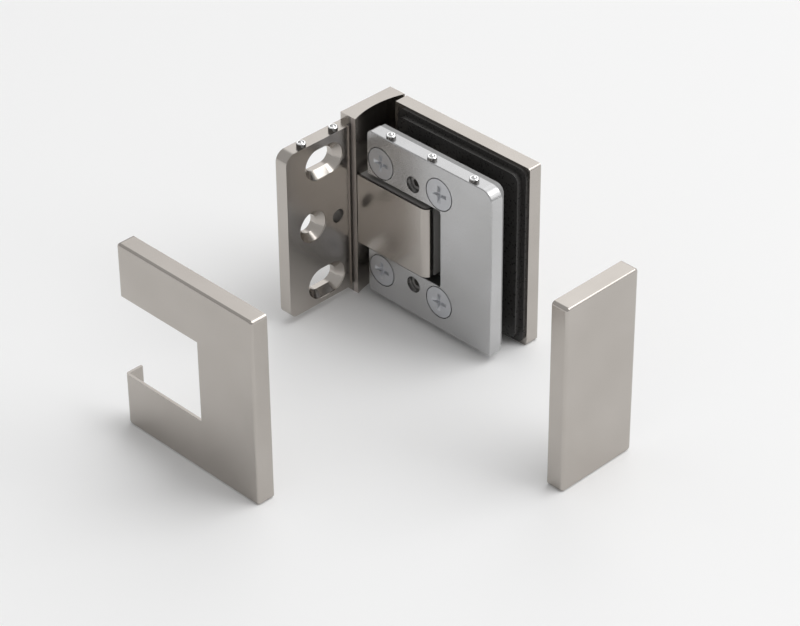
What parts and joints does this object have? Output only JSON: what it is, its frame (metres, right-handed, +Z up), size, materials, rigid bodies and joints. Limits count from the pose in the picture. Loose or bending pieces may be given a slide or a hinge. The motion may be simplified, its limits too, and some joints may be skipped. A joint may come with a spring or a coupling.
{
  "type": "glass door hinge",
  "caption": "Wall-to-glass door hinge: a drilled wall plate with a hollow-faced flange, a pivot block, gasketed glass clamp plates, and push-on covers standing off.",
  "frame": {"origin": "on the wall plane behind the flange, in line with the middle of the glass, at mid height", "axes": "+X from the wall into the closed door, -Y towards the side of the covers, +Z up along the pivot pin"},
  "size_m": [0.1709, 0.1642, 0.09],
  "materials": {
    "satin_nickel": "warm satin nickel plate",
    "grey_metal": "dull grey casting",
    "satin_aluminium": "fine satin",
    "bush_bronze": "plain bearing bronze",
    "washer_plastic": "natural plastic",
    "inner_steel": "turned steel",
    "grey_gasket": "grey soft plastic sheet",
    "black_gasket": "black rubber",
    "screw_steel": "zinc-plated, satin",
    "grub_steel": "darkened steel",
    "bright_chrome": "bright"
  },
  "bodies": {
    "wall_side": {"wall_bracket": "satin_nickel", "pivot_block": "grey_metal", "block_cap_front": "satin_nickel", "block_cap_back": "satin_nickel", "upper_bush": "bush_bronze", "lower_bush": "bush_bronze", "upper_thrust_washer": "washer_plastic", "lower_thrust_washer": "washer_plastic", "detent_spring": "inner_steel", "detent_plug": "inner_steel", "upper_block_screw": "inner_steel", "lower_block_screw": "inner_steel", "wall_plunger_top_1_body": "bright_chrome", "wall_plunger_top_2_body": "bright_chrome"},
    "glass_side": {"back_plate": "satin_nickel", "front_clamp_plate": "satin_aluminium", "front_gasket": "grey_gasket", "back_gasket": "black_gasket", "pivot_pin": "inner_steel", "upper_pin_grub_screw": "grub_steel", "lower_pin_grub_screw": "grub_steel", "clamp_screw_upper_near": "screw_steel", "clamp_screw_upper_far": "screw_steel", "clamp_screw_lower_near": "screw_steel", "clamp_screw_lower_far": "screw_steel", "post_sleeve_upper_near": "black_gasket", "post_sleeve_upper_far": "black_gasket", "post_sleeve_lower_near": "black_gasket", "post_sleeve_lower_far": "black_gasket", "glass_plunger_top_1_body": "bright_chrome", "glass_plunger_top_2_body": "bright_chrome", "glass_plunger_top_3_body": "bright_chrome"},
    "glass_cover": {"glass_cover": "satin_nickel"},
    "wall_cover": {"wall_cover": "satin_nickel"},
    "detent_shoe": {"detent_shoe": "inner_steel"},
    "wall_plunger_top_1": {"wall_plunger_top_1_nose": "bright_chrome"},
    "wall_plunger_top_2": {"wall_plunger_top_2_nose": "bright_chrome"},
    "glass_plunger_top_1": {"glass_plunger_top_1_nose": "bright_chrome"},
    "glass_plunger_top_2": {"glass_plunger_top_2_nose": "bright_chrome"},
    "glass_plunger_top_3": {"glass_plunger_top_3_nose": "bright_chrome"}
  },
  "joints": [
    {"name": "door_swing", "type": "hinge", "parent": "wall_side", "child": "glass_side", "pos_m": [0.042, 0, 0], "axis": [0, 0, 1], "range_deg": [-90, 90]},
    {"name": "glass_cover_slide", "type": "slide", "parent": "glass_side", "child": "glass_cover", "axis": [0, 1, 0], "range_m": [0, 0.1342]},
    {"name": "wall_cover_slide", "type": "slide", "parent": "wall_side", "child": "wall_cover", "axis": [-1, 0, 0], "range_m": [0, 0.1624]},
    {"name": "detent_press", "type": "slide", "parent": "wall_side", "child": "detent_shoe", "axis": [1, 0, 0], "range_m": [0, 0.00045]},
    {"name": "wall_plunger_top_1_press", "type": "slide", "parent": "wall_side", "child": "wall_plunger_top_1", "axis": [0, 0, -1], "range_m": [0, 0.0007], "stiffness_N_per_m": 1000, "springref_m": -0.001},
    {"name": "wall_plunger_top_2_press", "type": "slide", "parent": "wall_side", "child": "wall_plunger_top_2", "axis": [0, 0, -1], "range_m": [0, 0.0007], "stiffness_N_per_m": 1000, "springref_m": -0.001},
    {"name": "glass_plunger_top_1_press", "type": "slide", "parent": "glass_side", "child": "glass_plunger_top_1", "axis": [0, 0, -1], "range_m": [0, 0.0007], "stiffness_N_per_m": 1000, "springref_m": -0.001},
    {"name": "glass_plunger_top_2_press", "type": "slide", "parent": "glass_side", "child": "glass_plunger_top_2", "axis": [0, 0, -1], "range_m": [0, 0.0007], "stiffness_N_per_m": 1000, "springref_m": -0.001},
    {"name": "glass_plunger_top_3_press", "type": "slide", "parent": "glass_side", "child": "glass_plunger_top_3", "axis": [0, 0, -1], "range_m": [0, 0.0007], "stiffness_N_per_m": 1000, "springref_m": -0.001}
  ]
}
